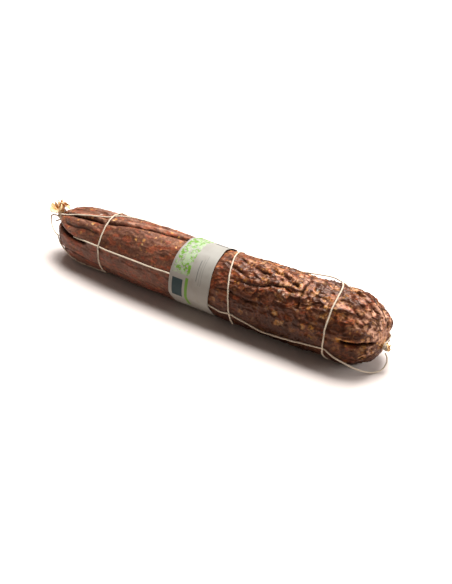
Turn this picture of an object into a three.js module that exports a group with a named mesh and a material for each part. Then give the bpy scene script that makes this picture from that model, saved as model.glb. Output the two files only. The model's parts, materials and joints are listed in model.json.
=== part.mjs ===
// A dry-cured sausage in a natural casing, tied with butcher's twine, with a plain paper band
// round its middle. Millimetres and degrees, +Z up, +X along the sausage from its ruffled end
// to its stub end. The origin is on the surface that it lies on, under the middle of the band.
//
// An angle round the sausage is 0 at the front (-Y), 90 on top, 180 at the back and -90 below.
import * as THREE from "three";

// ---- Driving dimensions ---------------------------------------------------------------------

const LEFT = -179; // where each rounded end stops and its gathered neck begins
const RIGHT = 181;
const GIRTH = { left: 25, middle: 30, right: 32 }; // radius of the full section along the length
const CAP_LENGTH = 37; // how much of each end is rounded off
const CAP_POWER = 2.15; // above 2 is blunter than an ellipse
const SAG = 4; // the middle bows this far to the front
const SOLE = 0.5; // how deep its own weight flattens the underside

const NECK = { radius: 3.2, length: 4.2 }; // the casing, gathered and tied at each end
const GATHER_LEFT = { y: 0, z: 34, rise: 1.0 }; // where each neck leaves, and how it slopes
const GATHER_RIGHT = { y: 0, z: 23, rise: -0.2 };

const TWINE = 0.75; // radius
const GAP = 0.3; // between neighbouring solids
const TURN = 2 * TWINE + GAP; // one layer of twine
const LOOSE = 0.3; // the twine stands this much further off the skin than the gap

const BAND = { from: -21.5, to: 22.5, slant: 8, thickness: 0.5 }; // 8 narrower at the back
const TUFT = { length: 9, radius: 7.5, ruffles: 7 };
const STUB = { length: 4, radius: 3.6, ruffles: 5 };
const KNOT = { length: 2.6, radius: 1.9, angle: 158, opening: 4.6 };

// Hoops of twine: where each crosses the front, how far it leans along the sausage, and the
// angle where it leans furthest towards the stub end.
const HOOPS = [
  { name: "hoop_left", x: -112, lean: 3.5, towards: 10 },
  { name: "hoop_middle", x: 33, lean: 12, towards: -15 },
  { name: "hoop_right", x: 135.5, lean: 8, towards: 30 },
];

// Strands of twine along the sausage, as places [x, angle] on the skin, between the two ties.
const STRANDS = [
  {
    name: "strand_top",
    route: [[-174, 76], [-148, 67], [-119, 78], [-100, 107], [-84, 130], [-60, 141], [60, 141],
      [84, 133], [100, 119], [130, 121], [146, 115], [158, 109], [176, 104]],
  },
  {
    name: "strand_front",
    stopsAt: 143,
    route: [[-175, 30], [-142, 20], [-109, 20], [-22, 19], [0, 8], [22, -11], [44, -14],
      [60, -23], [77, -32], [97, -27], [118, -19], [138, -16]],
  },
  {
    name: "strand_under",
    stopsAt: -113.5,
    route: [[-172, -14], [-157, -32], [-145, -48], [-130, -54], [-112, -56]],
  },
  {
    name: "strand_back",
    route: [[-172, 160], [-145, 178], [-110, 190], [-40, 192], [40, 190], [110, 188],
      [150, 190], [176, 198]],
  },
];

// The front strand runs slack from the last hoop to the stub end, as points in space.
const SLACK = [[143.7, -33.1, 21.5], [147, -33.5, 19.8], [153, -32.8, 16.6], [161, -30, 12.6],
  [169, -25.6, 8], [175.5, -19.5, 3.8], [181, -12.4, 1.3], [185.4, -6.5, 2.9],
  [187, -2.8, 7.6], [186.4, -1.2, 12.4], [184.2, -0.6, 16]];

// Folds in the dried casing: a valley along a route of [x, angle], between raised lips.
const FOLDS = [
  { depth: 1.8, width: 4, route: [[-172, 68], [-148, 64], [-124, 66], [-104, 79], [-52, 87], [-24, 90]] },
  { depth: 1.6, width: 4, route: [[-172, 30], [-158, 24], [-142, 14], [-128, 12]] },
  { depth: 1.2, width: 4, route: [[-170, 140], [-150, 150], [-90, 158], [-40, 154]] },
  { depth: 1.2, width: 4, route: [[-172, 214], [-140, 216], [-80, 208]] },
  { depth: 1.4, width: 4, route: [[66, 91], [82, 85], [97, 73], [107, 64]] },
  { depth: 1.4, width: 4, route: [[152, 6], [164, 3], [176, 2]] },
  { depth: 1.6, width: 4, route: [[152, 108], [163, 107], [174, 100]] },
];

// Places where meat and fat swell the casing: [x, angle, height, length along, width round].
const SWELLINGS = [
  [-136, 44, 1, 26, 10], [-70, 62, 0.9, 34, 11], [52, 68, 0.8, 12, 8], [84, 74, 1, 13, 8],
  [126, 78, 0.9, 12, 9], [122, 40, 0.8, 14, 12], [166, 128, 1.2, 11, 10], [166, -22, 1, 12, 10],
];

// How finely the skin and the twine are divided.
const AROUND = 40;
const RING_STEP = 9;
const CAP_RINGS = 8;
const TWINE_STEP = 8;
const TWINE_SIDES = 6;
const SLACK_SIDES = 8;
const HOOP_STEPS = 36;

// ---- Small helpers --------------------------------------------------------------------------

const radians = THREE.MathUtils.degToRad;
const { lerp, clamp, smoothstep } = THREE.MathUtils;

// The shorter way round from one angle to another, in degrees.
const turn = (from, to) => ((((to - from) % 360) + 540) % 360) - 180;

// A bell curve that is 1 at 0.
const bell = (distance, width) => Math.exp(-((distance / width) ** 2));

// The value at x of a list of [x, value] places, joined by straight lines.
function along(route, x) {
  if (x <= route[0][0]) return route[0][1];
  for (let i = 1; i < route.length; i++) {
    const [x0, v0] = route[i - 1];
    const [x1, v1] = route[i];
    if (x <= x1) return lerp(v0, v1, (x - x0) / (x1 - x0));
  }
  return route[route.length - 1][1];
}

// ---- The sausage's shape --------------------------------------------------------------------

const HALF = (RIGHT - LEFT) / 2;

function girth(x) {
  const share = clamp(x / HALF, -1, 1);
  return lerp(GIRTH.middle, share < 0 ? GIRTH.left : GIRTH.right, share * share);
}

// 1 along the sausage, falling to 0 at the tip of each rounded end.
function taper(x) {
  const inward = clamp(Math.min(x - LEFT, RIGHT - x) / CAP_LENGTH, 0, 1);
  return (1 - (1 - inward) ** CAP_POWER) ** (1 / CAP_POWER);
}

// The centre of the section at x, as [y, z].
function centre(x) {
  const gather = x < 0 ? GATHER_LEFT : GATHER_RIGHT;
  const beyond = Math.max(LEFT - x, x - RIGHT, 0);
  const share = clamp(x / HALF, -1, 1);
  const pull = (1 - taper(x)) ** 1.3;
  return [
    lerp(-SAG * (1 - share * share), gather.y, pull),
    lerp(girth(x) - SOLE, gather.z, pull) + beyond * gather.rise,
  ];
}

// The height of the folds, swellings and slow unevenness of the skin at a place.
function relief(x, angle) {
  const a = radians(angle);
  let height = 0.4 * Math.sin(x / 17 + 2 * a) + 0.3 * Math.sin(x / 9.5 - 3 * a + 1);
  for (const { depth, width, route } of FOLDS) {
    const off = Math.abs(radians(turn(along(route, x), angle))) * girth(x);
    const inside = Math.min(x - route[0][0], route[route.length - 1][0] - x);
    const lips = 0.3 * bell(off - 2 * width, width);
    height += depth * smoothstep(inside, -5, 9) * (lips - bell(off, width));
  }
  for (const [sx, sa, rise, length, width] of SWELLINGS) {
    const over = radians(turn(sa, angle)) * girth(x);
    height += rise * bell(x - sx, length) * bell(over, width);
  }
  return height;
}

// Distance from the centre line to the skin.
function reach(x, angle) {
  const round = taper(x);
  return Math.max(girth(x) * round + relief(x, angle) * smoothstep(round, 0.15, 0.75), NECK.radius);
}

// A point at an angle round the centre line, as far from it as r.
function polar(x, angle, r) {
  const [y, z] = centre(x);
  return new THREE.Vector3(x, y - Math.cos(radians(angle)) * r, z + Math.sin(radians(angle)) * r);
}

const onSkin = (x, angle) => polar(x, angle, reach(x, angle));

// A point that far off the skin, square to it.
function offSkin(x, angle, off) {
  const lengthways = onSkin(Math.min(x + 2, RIGHT), angle).sub(onSkin(Math.max(x - 2, LEFT), angle));
  const round = onSkin(x, angle + 6).sub(onSkin(x, angle - 6));
  return onSkin(x, angle).addScaledVector(round.cross(lengthways).normalize(), -off);
}

const hoopX = (hoop, angle) => hoop.x + hoop.lean * Math.cos(radians(angle - hoop.towards));

// The underside is flat where it rests, and stands higher where the band and the hoops pass.
const UNDER_BAND = BAND.thickness + GAP;
const UNDER_HOOP = TURN + 0.35;
const raised = [
  { from: BAND.from - 0.4, to: BAND.to + 0.4, height: UNDER_BAND },
  ...HOOPS.map((hoop) => {
    const middle = hoopX(hoop, -90);
    const half = 2.4 + 0.36 * hoop.lean;
    return { from: middle - half, to: middle + half, height: UNDER_HOOP };
  }),
];

function floorUnder(x) {
  const over = raised.filter((r) => x > r.from - 0.01 && x < r.to + 0.01);
  return Math.max(0, ...over.map((r) => r.height));
}

// Where the rings of the skin lie: close together over the ends, with one on each side of each
// step of the underside.
function stations() {
  const xs = [LEFT - NECK.length, RIGHT + NECK.length];
  for (let k = 0; k <= CAP_RINGS; k++) {
    const inward = CAP_LENGTH * (1 - Math.cos((k / CAP_RINGS) * (Math.PI / 2)));
    xs.push(LEFT + inward, RIGHT - inward);
  }
  for (const r of raised) xs.push(r.from - 0.8, r.from, r.to, r.to + 0.8);
  const middle = RIGHT - LEFT - 2 * CAP_LENGTH;
  const count = Math.round(middle / RING_STEP);
  for (let k = 1; k < count; k++) {
    const x = LEFT + CAP_LENGTH + (k * middle) / count;
    if (!xs.some((other) => Math.abs(other - x) < RING_STEP / 3)) xs.push(x);
  }
  return xs.sort((a, b) => a - b);
}

// ---- Solids ---------------------------------------------------------------------------------

// A sphere whose rings are laid along the sausage and pushed out to its skin.
function skinGeometry() {
  const rings = stations();
  rings.unshift(rings[0]); // the closed tip of each neck
  rings.push(rings[rings.length - 1]);
  const geometry = new THREE.SphereGeometry(1, AROUND, rings.length - 1);
  const { position, uv } = geometry.attributes;
  for (let i = 0; i < position.count; i++) {
    const ring = Math.round((1 - uv.getY(i)) * (rings.length - 1));
    const x = rings[ring];
    let point;
    if (ring === 0 || ring === rings.length - 1) {
      point = new THREE.Vector3(x, ...centre(x));
    } else {
      point = onSkin(x, Math.round(uv.getX(i) * AROUND) * (360 / AROUND));
    }
    position.setXYZ(i, point.x, point.y, Math.max(point.z, floorUnder(x)));
  }
  return geometry;
}

// A round strand of twine along a list of points.
function twineGeometry(points, steps = points.length, sides = TWINE_SIDES) {
  const section = new THREE.Shape().absarc(0, 0, TWINE, 0, 2 * Math.PI);
  return new THREE.ExtrudeGeometry(section, {
    steps,
    curveSegments: sides / 2,
    bevelEnabled: false,
    extrudePath: new THREE.CatmullRomCurve3(points, false, "centripetal"),
  });
}

// A gathered, ruffled end of casing: a wavy flare from a neck out to a dished rim.
function ruffleGeometry({ length, radius, ruffles }, waist) {
  const rim = [[0, 0], [waist, 0], [lerp(waist, radius, 0.35), 0.45 * length], [radius, 0.9 * length],
    [0.8 * radius, length], [0.35 * radius, 0.7 * length], [0, 0.6 * length]];
  const profile = rim.map(([r, h]) => new THREE.Vector2(r, h));
  const geometry = new THREE.LatheGeometry(profile, 6 * ruffles);
  const { position } = geometry.attributes;
  for (let i = 0; i < position.count; i++) {
    const [x, y, z] = [position.getX(i), position.getY(i), position.getZ(i)];
    const share = y / length;
    const wave = 1 + 0.22 * share * Math.cos(ruffles * Math.atan2(z, x));
    position.setXYZ(i, x * wave, y, z * wave);
  }
  return geometry;
}

// ---- Twine ----------------------------------------------------------------------------------

const OFF = TWINE + GAP + LOOSE;

// How far out a tie's turns lie, and the strands beside them.
const TIE = NECK.radius + OFF + 0.3;

// Where the points of a strand lie: closer together over the rounded ends.
function strandStations(stopsAt) {
  const xs = [];
  for (let k = 1; k <= CAP_RINGS; k++) {
    const inward = CAP_LENGTH * (1 - Math.cos((k / CAP_RINGS) * (Math.PI / 2)));
    xs.push(LEFT + inward, RIGHT - inward);
  }
  const count = Math.round((RIGHT - LEFT - 2 * CAP_LENGTH) / TWINE_STEP);
  for (let k = 1; k < count; k++) xs.push(lerp(LEFT + CAP_LENGTH, RIGHT - CAP_LENGTH, k / count));
  return [...xs.filter((x) => x < stopsAt - 2), stopsAt].sort((a, b) => a - b);
}

// A taut strand over the skin. It bridges the hollows, so it is as far out as the skin nearby.
function strandPoints({ stopsAt = Infinity, route }) {
  const points = strandStations(stopsAt).filter(Number.isFinite).map((x) => {
    const angle = along(route, x);
    const nearby = [-6, -3, 0, 3, 6].map((step) => reach(x + step, angle));
    const bridge = taper(x) > 0.98 ? Math.max(...nearby) - reach(x, angle) : 0;
    return offSkin(x, angle, bridge + OFF);
  });
  points.unshift(polar(LEFT - 1, route[0][1], TIE + TURN));
  if (stopsAt > RIGHT) points.push(polar(RIGHT + 1, route[route.length - 1][1], TIE + TURN));
  return points;
}

const strands = new Map(STRANDS.map((strand) => [strand.name, strandPoints(strand)]));

// The outside of every strand, as points [y, z], wherever it is within 3 mm of edge(angle).
function strandsNear(edge) {
  const found = [];
  for (const line of strands.values()) {
    for (const p of new THREE.CatmullRomCurve3(line).getPoints(12 * line.length)) {
      const [y, z] = centre(p.x);
      const angle = THREE.MathUtils.radToDeg(Math.atan2(p.z - z, y - p.y));
      if (Math.abs(p.x - edge(angle)) > 3) continue;
      for (let a = 0; a < 2 * Math.PI; a += Math.PI / 6) {
        found.push([p.y + TWINE * Math.cos(a), p.z + TWINE * Math.sin(a)]);
      }
    }
  }
  return found;
}

// The skin within 2 mm of edge(angle), as points [y, z], no lower than the floor given.
function skinNear(edge, floor) {
  const found = [];
  for (let angle = 0; angle < 360; angle += 4) {
    for (const step of [-2, 0, 2]) {
      const p = onSkin(edge(angle) + step, angle);
      found.push([p.y, Math.max(p.z, floor)]);
    }
  }
  return found;
}

// The convex outline round a set of [y, z] points, anticlockwise.
function hull(points) {
  const sorted = [...points].sort((a, b) => a[0] - b[0] || a[1] - b[1]);
  const left = (o, a, b) => (a[0] - o[0]) * (b[1] - o[1]) - (a[1] - o[1]) * (b[0] - o[0]) > 1e-6;
  const chain = (list) => {
    const out = [];
    for (const p of list) {
      while (out.length > 1 && !left(out[out.length - 2], out[out.length - 1], p)) out.pop();
      out.push(p);
    }
    return out.slice(0, -1);
  };
  return [...chain(sorted), ...chain(sorted.reverse())];
}

// How far a convex outline is from a centre at an angle round the sausage.
function outlineReach(outline, [y, z], angle) {
  const dy = -Math.cos(radians(angle));
  const dz = Math.sin(radians(angle));
  let best = 0;
  outline.forEach(([y0, z0], i) => {
    const [y1, z1] = outline[(i + 1) % outline.length];
    const [ey, ez] = [y1 - y0, z1 - z0];
    const cross = dy * ez - dz * ey;
    if (Math.abs(cross) < 1e-9) return;
    const share = (dz * (y0 - y) - dy * (z0 - z)) / cross;
    const far = ((y0 - y) * ez - (z0 - z) * ey) / cross;
    if (share > -1e-6 && share < 1 + 1e-6) best = Math.max(best, far);
  });
  return best;
}

// The furthest that the outline reaches near an angle, so that no corner of it is cut off.
function clearReach(outline, middle, angle) {
  return Math.max(...[-4, -2, 0, 2, 4].map((step) => outlineReach(outline, middle, angle + step)));
}

// A taut hoop: the convex outline of the skin and the strands that it holds down, pushed out.
function hoopPoints(hoop) {
  const edge = (angle) => hoopX(hoop, angle);
  const outline = hull([...skinNear(edge, UNDER_HOOP), ...strandsNear(edge)]);
  const points = [];
  for (let k = 0; k <= HOOP_STEPS; k++) {
    const angle = KNOT.angle + KNOT.opening + ((360 - 2 * KNOT.opening) * k) / HOOP_STEPS;
    const [y, z] = centre(hoop.x);
    const r = clearReach(outline, [y, z], angle) + OFF;
    const height = Math.max(z + Math.sin(radians(angle)) * r, TWINE + 0.25);
    points.push(new THREE.Vector3(edge(angle), y - Math.cos(radians(angle)) * r, height));
  }
  return points;
}

// A tie: turns of twine round a neck.
function tiePoints(from, to, turns) {
  const points = [];
  const count = Math.round(turns * 12);
  for (let k = 0; k <= count; k++) {
    points.push(polar(lerp(from, to, k / count), 200 + (360 * turns * k) / count, TIE));
  }
  return points;
}

// The band lies over the strands, so it is the outline of everything under it, pushed out.
function bandGeometry() {
  const under = [];
  for (let x = BAND.from; x <= BAND.to; x += 3) {
    under.push(...skinNear(() => x, UNDER_BAND), ...strandsNear(() => x));
  }
  const outline = hull(under);
  const [y, z] = centre(0);
  const ring = (off, lowest) => {
    const points = [];
    for (let angle = -90; angle < 270; angle += 7.5) {
      const r = clearReach(outline, [y, z], angle) + off;
      points.push([y - Math.cos(radians(angle)) * r, Math.max(z + Math.sin(radians(angle)) * r, lowest)]);
    }
    return hull(points).map((p) => new THREE.Vector2(...p));
  };
  const shape = new THREE.Shape(ring(GAP + 0.1 + BAND.thickness, 0));
  shape.holes.push(new THREE.Path(ring(GAP + 0.1, BAND.thickness)));
  const geometry = new THREE.ExtrudeGeometry(shape, { depth: BAND.to - BAND.from, bevelEnabled: false });
  const lengthways = new THREE.Matrix4().makeBasis(
    new THREE.Vector3(0, 1, 0),
    new THREE.Vector3(0, 0, 1),
    new THREE.Vector3(1, 0, 0),
  );
  geometry.applyMatrix4(lengthways).translate(BAND.from, 0, 0);
  const { position } = geometry.attributes;
  for (let i = 0; i < position.count; i++) {
    const share = 0.5 + (position.getY(i) - y) / (2 * girth(0));
    if (position.getX(i) > 0) position.setX(i, BAND.to - BAND.slant * share);
  }
  return geometry;
}

// ---- Materials ------------------------------------------------------------------------------

const material = (color, roughness) => new THREE.MeshStandardMaterial({ color, roughness, metalness: 0 });
const skinMaterial = material(0x5a2b22, 0.45);
const twineMaterial = material(0xd9cbb2, 0.85);
const paperMaterial = material(0xece9e2, 0.7);
const casingMaterial = material(0xd2a25c, 0.5);

// ---- Assembly -------------------------------------------------------------------------------

const sausage = new THREE.Group();

function add(name, geometry, surface) {
  const mesh = new THREE.Mesh(geometry, surface);
  mesh.name = name;
  sausage.add(mesh);
  return mesh;
}

add("sausage_body", skinGeometry(), skinMaterial);
add("paper_band", bandGeometry(), paperMaterial);

for (const [name, points] of strands) add(name, twineGeometry(points), twineMaterial);

const slack = SLACK.map((p) => new THREE.Vector3(...p));
add("strand_slack_end", twineGeometry(slack, 24, SLACK_SIDES), twineMaterial);

for (const hoop of HOOPS) {
  const points = hoopPoints(hoop);
  add(hoop.name, twineGeometry(points), twineMaterial);
  // Its knot sits in the opening that the hoop leaves at the back, as far off the skin.
  const knot = add(hoop.name.replace("hoop", "knot"), new THREE.SphereGeometry(1, 12, 8), twineMaterial);
  const middle = points[0].clone().lerp(points[points.length - 1], 0.5);
  const out = polar(0, KNOT.angle, 1).sub(polar(0, KNOT.angle, 0));
  knot.scale.set(KNOT.length, KNOT.radius, KNOT.radius);
  knot.position.copy(middle).addScaledVector(out, KNOT.radius - TWINE);
}

add("tie_left", twineGeometry(tiePoints(LEFT - 1, LEFT - 3.4, 1.3)), twineMaterial);
add("tie_right", twineGeometry(tiePoints(RIGHT + 1, RIGHT + 3.4, 1.3)), twineMaterial);

// Each ruffle stands on the tip of its neck and slopes as the neck does.
for (const [name, ruffle, side, gather] of [
  ["casing_tuft", TUFT, -1, GATHER_LEFT],
  ["casing_stub", STUB, 1, GATHER_RIGHT],
]) {
  const geometry = ruffleGeometry(ruffle, 0.8 * NECK.radius).rotateZ((-side * Math.PI) / 2);
  geometry.applyMatrix4(new THREE.Matrix4().makeShear(0, side * gather.rise, 0, 0, 0, 0));
  const x = (side < 0 ? LEFT : RIGHT) + side * (NECK.length + GAP);
  add(name, geometry, casingMaterial).position.set(x, ...centre(x));
}

export default sausage;
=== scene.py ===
# %% [markdown]
# # A dry-cured sausage, tied with twine
#
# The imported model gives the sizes: a sausage lying on its side, butcher's twine round it, and a
# band of paper. This lesson makes the same object as it looks. We begin by loading that model.
# Blender works in metres, and a sausage is easier to think about in millimetres, so lengths are
# named in millimetres and multiplied by MM where a mesh is made.

# %% Load the frame
import json
import math

import bpy
import numpy as np
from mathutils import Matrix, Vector
from mathutils.bvhtree import BVHTree
from mathutils.kdtree import KDTree

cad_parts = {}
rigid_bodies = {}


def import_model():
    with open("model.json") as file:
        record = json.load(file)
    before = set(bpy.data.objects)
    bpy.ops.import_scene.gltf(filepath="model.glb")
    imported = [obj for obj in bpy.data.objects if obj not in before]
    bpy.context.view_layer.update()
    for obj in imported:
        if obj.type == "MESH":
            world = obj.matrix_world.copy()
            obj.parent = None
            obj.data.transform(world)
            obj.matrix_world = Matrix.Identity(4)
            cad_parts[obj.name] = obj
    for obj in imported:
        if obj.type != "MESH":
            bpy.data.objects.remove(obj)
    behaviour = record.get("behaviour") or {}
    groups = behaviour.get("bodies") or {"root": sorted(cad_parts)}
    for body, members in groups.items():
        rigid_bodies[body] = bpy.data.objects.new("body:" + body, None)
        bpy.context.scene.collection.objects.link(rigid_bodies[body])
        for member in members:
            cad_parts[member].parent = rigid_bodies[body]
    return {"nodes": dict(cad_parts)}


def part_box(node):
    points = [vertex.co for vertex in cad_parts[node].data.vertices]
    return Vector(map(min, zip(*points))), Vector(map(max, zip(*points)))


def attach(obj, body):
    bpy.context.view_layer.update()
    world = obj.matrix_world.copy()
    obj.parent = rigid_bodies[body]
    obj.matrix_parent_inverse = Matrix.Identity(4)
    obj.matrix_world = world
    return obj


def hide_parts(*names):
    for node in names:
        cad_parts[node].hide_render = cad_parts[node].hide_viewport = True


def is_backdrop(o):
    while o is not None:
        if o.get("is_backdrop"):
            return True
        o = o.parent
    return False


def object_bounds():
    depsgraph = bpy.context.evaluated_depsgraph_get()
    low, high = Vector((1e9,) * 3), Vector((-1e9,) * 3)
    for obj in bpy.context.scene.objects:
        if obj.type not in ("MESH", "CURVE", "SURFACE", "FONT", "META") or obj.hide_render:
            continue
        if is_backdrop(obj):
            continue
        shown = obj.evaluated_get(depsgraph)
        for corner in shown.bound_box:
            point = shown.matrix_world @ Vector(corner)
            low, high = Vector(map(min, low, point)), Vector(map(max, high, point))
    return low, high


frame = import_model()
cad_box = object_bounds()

MM = 0.001
print("nodes:", ", ".join(sorted(frame["nodes"])))

# %% [markdown]
# ## Small tools
#
# A few jobs come up again and again: to put an object in the scene, to make a mesh from points in
# millimetres, to keep what an object's modifiers make of it, to join the rows of a grid with
# quads, and to measure along a line.


# %% Objects, meshes and lines
def add_object(name, data):
    """A new object in the scene."""
    made = bpy.data.objects.new(name, data)
    bpy.context.scene.collection.objects.link(made)
    return made


def new_mesh(name, points, edges, faces):
    """A mesh from points in millimetres."""
    mesh = bpy.data.meshes.new(name)
    mesh.from_pydata((np.asarray(points) * MM).tolist(), edges, faces)
    return mesh


def baked(source, name):
    """What an object's modifiers make of it, as a plain mesh in an object that takes its place."""
    depsgraph = bpy.context.evaluated_depsgraph_get()
    mesh = bpy.data.meshes.new_from_object(source.evaluated_get(depsgraph), depsgraph=depsgraph)
    bpy.data.objects.remove(source)
    mesh.name = name
    return add_object(name, mesh)


def read_points(mesh):
    """A mesh's points in millimetres, a row for each."""
    points = np.empty(len(mesh.vertices) * 3, np.float32)
    mesh.vertices.foreach_get("co", points)
    return points.reshape(-1, 3).astype(float) / MM


def write_points(mesh, points):
    """Puts a mesh's points back where these rows say."""
    mesh.vertices.foreach_set("co", (points * MM).astype(np.float32).ravel())
    mesh.update()


def grid_quads(rows, columns, closed=True):
    """Quads that join the rows of a grid of points. A closed row is joined end to end."""
    quads = []
    for row in range(rows - 1):
        here, there = row * columns, (row + 1) * columns
        for column in range(columns if closed else columns - 1):
            beside = (column + 1) % columns
            quads.append((here + column, here + beside, there + beside, there + column))
    return quads


def lengths_to(line):
    """How long a line of points is up to each of its points."""
    return np.concatenate([[0], np.cumsum(np.linalg.norm(np.diff(line, axis=0), axis=1))])


def turn_from(start, angle):
    """How many degrees an angle is from start, between -180 and 180."""
    return (angle - start + 180) % 360 - 180


print("small tools are ready")

# %% [markdown]
# ## Camera, floor and light
#
# The camera comes first, because the loose twine has to lie inside its view. It looks down on
# the sausage from the front right, with a long lens, so that the far end isn't dwarfed. The
# floor is plain and pale. One large soft lamp stands above and behind, a small one stands low
# beyond the right end, and a dim warm sky fills the shadows, as in a table-top studio.

# %% Camera
LOOK_AT = Vector((24.24, -10.31, 25)) * MM
AZIMUTH = math.radians(35.84)
ELEVATION = math.radians(31)
DISTANCE = 1150 * MM
LENS = 78.44

back = Vector((
    math.sin(AZIMUTH) * math.cos(ELEVATION),
    -math.cos(AZIMUTH) * math.cos(ELEVATION),
    math.sin(ELEVATION),
))
camera_data = bpy.data.cameras.new("camera")
camera_data.lens = LENS
camera = add_object("camera", camera_data)
camera.location = LOOK_AT + back * DISTANCE
camera.rotation_euler = (-back).to_track_quat("-Z", "Y").to_euler()
bpy.context.scene.camera = camera
print("camera at", [round(c, 3) for c in camera.location])

# %% The slack end of the twine, from the last hoop down to the surface and up to the tie
SLACK_LINE = [
    (143.7, -33.1, 21.5), (147, -33.5, 19.8), (153, -32.8, 16.6), (161, -30, 12.6),
    (169, -25.6, 8.0), (175.5, -19.5, 3.8), (181, -12.4, 1.3), (185.4, -6.5, 2.9),
    (187, -2.8, 7.6), (186.4, -1.2, 12.4), (184.2, -0.6, 16),
]


def rounded(line, step):
    """A smooth curve through points, as points about step mm apart."""
    line = np.array(line, float)
    ends = np.vstack([2 * line[0] - line[1], line, 2 * line[-1] - line[-2]])
    out = [line[:1]]
    for a, b, c, d in zip(ends[:-3], ends[1:-2], ends[2:-1], ends[3:]):
        t = np.linspace(0, 1, max(2, int(np.linalg.norm(c - b) / step) + 1))[1:, None]
        bend = (2 * a - 5 * b + 4 * c - d) * t**2 + (3 * b - a - 3 * c + d) * t**3
        out.append(0.5 * (2 * b + (c - a) * t + bend))
    return np.vstack(out)


SLACK_LINE = rounded(SLACK_LINE, 1.0)

# %% Lamps and sky
KEY_AT = Vector((-0.14, 0.54, 1.35))
KEY_SIZE = 1.0
KEY_POWER = 66
SIDE_AT = Vector((1.0, 0.40, 0.45))
SIDE_SIZE = 0.6
SIDE_POWER = 8
SKY = 0.2
SKY_TINT = (1.0, 0.84, 0.76, 1)


def lamp(name, place, size, power):
    """A square soft lamp that faces the sausage."""
    data = bpy.data.lights.new(name, "AREA")
    data.size = size
    data.energy = power
    made = add_object(name, data)
    made.location = place
    made.rotation_euler = (-place).to_track_quat("-Z", "Y").to_euler()


lamp("key_lamp", KEY_AT, KEY_SIZE, KEY_POWER)
lamp("side_lamp", SIDE_AT, SIDE_SIZE, SIDE_POWER)
world = bpy.data.worlds.new("sky")
world.use_nodes = True
world.node_tree.nodes["Background"].inputs["Strength"].default_value = SKY
world.node_tree.nodes["Background"].inputs["Color"].default_value = SKY_TINT
bpy.context.scene.world = world
bpy.context.scene.view_settings.view_transform = "Standard"

# %% [markdown]
# ## A shorthand for node trees
#
# Materials and Geometry Nodes are both trees of nodes joined by links. Written out in full they
# are long, so one small class wraps a socket and lets Python's own operators add the Math nodes:
# `1 - mask * 0.5` makes two nodes. Any other node comes from the tree's `node` method, which
# takes the node's type, its settings, and the values or links of its sockets. Nodes that both
# kinds of tree use often have a method each.


# %% Sockets that can be added and multiplied
class Socket:
    """One output of a node. An operator on it adds a Math node and gives that node's output."""

    def __init__(self, tree, socket):
        self.tree, self.socket = tree, socket

    def math(self, operation, *values):
        return self.tree.node("ShaderNodeMath", {"operation": operation}, dict(enumerate(values)))

    def __abs__(self):
        return self.math("ABSOLUTE", self)

    def other(self, output):
        """Another output of the same node."""
        return Socket(self.tree, self.socket.node.outputs[output])

    def at_least(self, other):
        return self.math("MAXIMUM", self, other)

    def ramp(self, low, high, to_low=0.0, to_high=1.0):
        """Goes smoothly from to_low to to_high as this value goes from low to high."""
        settings = {"interpolation_type": "SMOOTHSTEP"}
        values = {0: self, 1: low, 2: high, 3: to_low, 4: to_high}
        return self.tree.node("ShaderNodeMapRange", settings, values)


def add_operator(name, operation):
    """Gives Socket an operator, for a socket on its left side and for one on its right."""
    setattr(Socket, f"__{name}__", lambda left, right: left.math(operation, left, right))
    setattr(Socket, f"__r{name}__", lambda right, left: right.math(operation, left, right))


for name, operation in (("add", "ADD"), ("sub", "SUBTRACT"), ("mul", "MULTIPLY"), ("truediv", "DIVIDE")):
    add_operator(name, operation)


class Tree:
    """A node tree that is filled by calling node()."""

    def __init__(self, nodes):
        self.nodes = nodes

    def node(self, kind, settings=None, values=None, output=0):
        made = self.nodes.nodes.new(kind)
        for name, value in (settings or {}).items():
            setattr(made, name, value)
        for key, value in (values or {}).items():
            if isinstance(value, Socket):
                self.nodes.links.new(value.socket, made.inputs[key])
            else:
                made.inputs[key].default_value = value
        return Socket(self, made.outputs[output])

    def mix(self, share, first, second):
        """A colour that goes from first to second as share goes from 0 to 1."""
        return self.node("ShaderNodeMix", {"data_type": "RGBA"}, {0: share, 6: first, 7: second}, 2)

    def math(self, operation, value):
        return self.node("ShaderNodeMath", {"operation": operation}, {0: value})

    def vector(self, operation, first, second):
        return self.node("ShaderNodeVectorMath", {"operation": operation}, {0: first, 1: second})

    def scaled(self, vector, by):
        return self.node("ShaderNodeVectorMath", {"operation": "SCALE"}, {0: vector, "Scale": by})

    def parted(self, vector, output=0):
        """One of a vector's three numbers."""
        return self.node("ShaderNodeSeparateXYZ", None, {0: vector}, output)

    def noise(self, where, size, detail=3.0, roughness=0.5, output=0):
        """Soft noise from 0 to 1, whose blobs are about size millimetres across."""
        values = {"Vector": where, "Scale": 1 / (size * MM), "Detail": detail, "Roughness": roughness}
        return self.node("ShaderNodeTexNoise", None, values, output)

    def cells(self, where, size, feature="F1", output=0, **more):
        """Voronoi cells about size millimetres across."""
        values = {"Vector": where, "Scale": 1 / (size * MM), **more}
        return self.node("ShaderNodeTexVoronoi", {"feature": feature}, values, output)

    def mask(self, name):
        """A number that the mesh carries at each of its points, for a material."""
        return self.node("ShaderNodeAttribute", {"attribute_name": name}, None, "Fac")

    def carried(self, name):
        """A number that the incoming mesh carries, for Geometry Nodes."""
        return self.node("GeometryNodeInputNamedAttribute", {"data_type": "FLOAT"}, {"Name": name})

    def store(self, geometry, name, value):
        """Makes a geometry carry a number at each of its points."""
        settings = {"data_type": "FLOAT", "domain": "POINT"}
        values = {"Geometry": geometry, "Name": name, "Value": value}
        return self.node("GeometryNodeStoreNamedAttribute", settings, values)

    def shift(self, geometry, offset):
        """Moves each point of a geometry by an offset."""
        return self.node("GeometryNodeSetPosition", None, {"Geometry": geometry, "Offset": offset})


print("the shorthand is ready")

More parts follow.
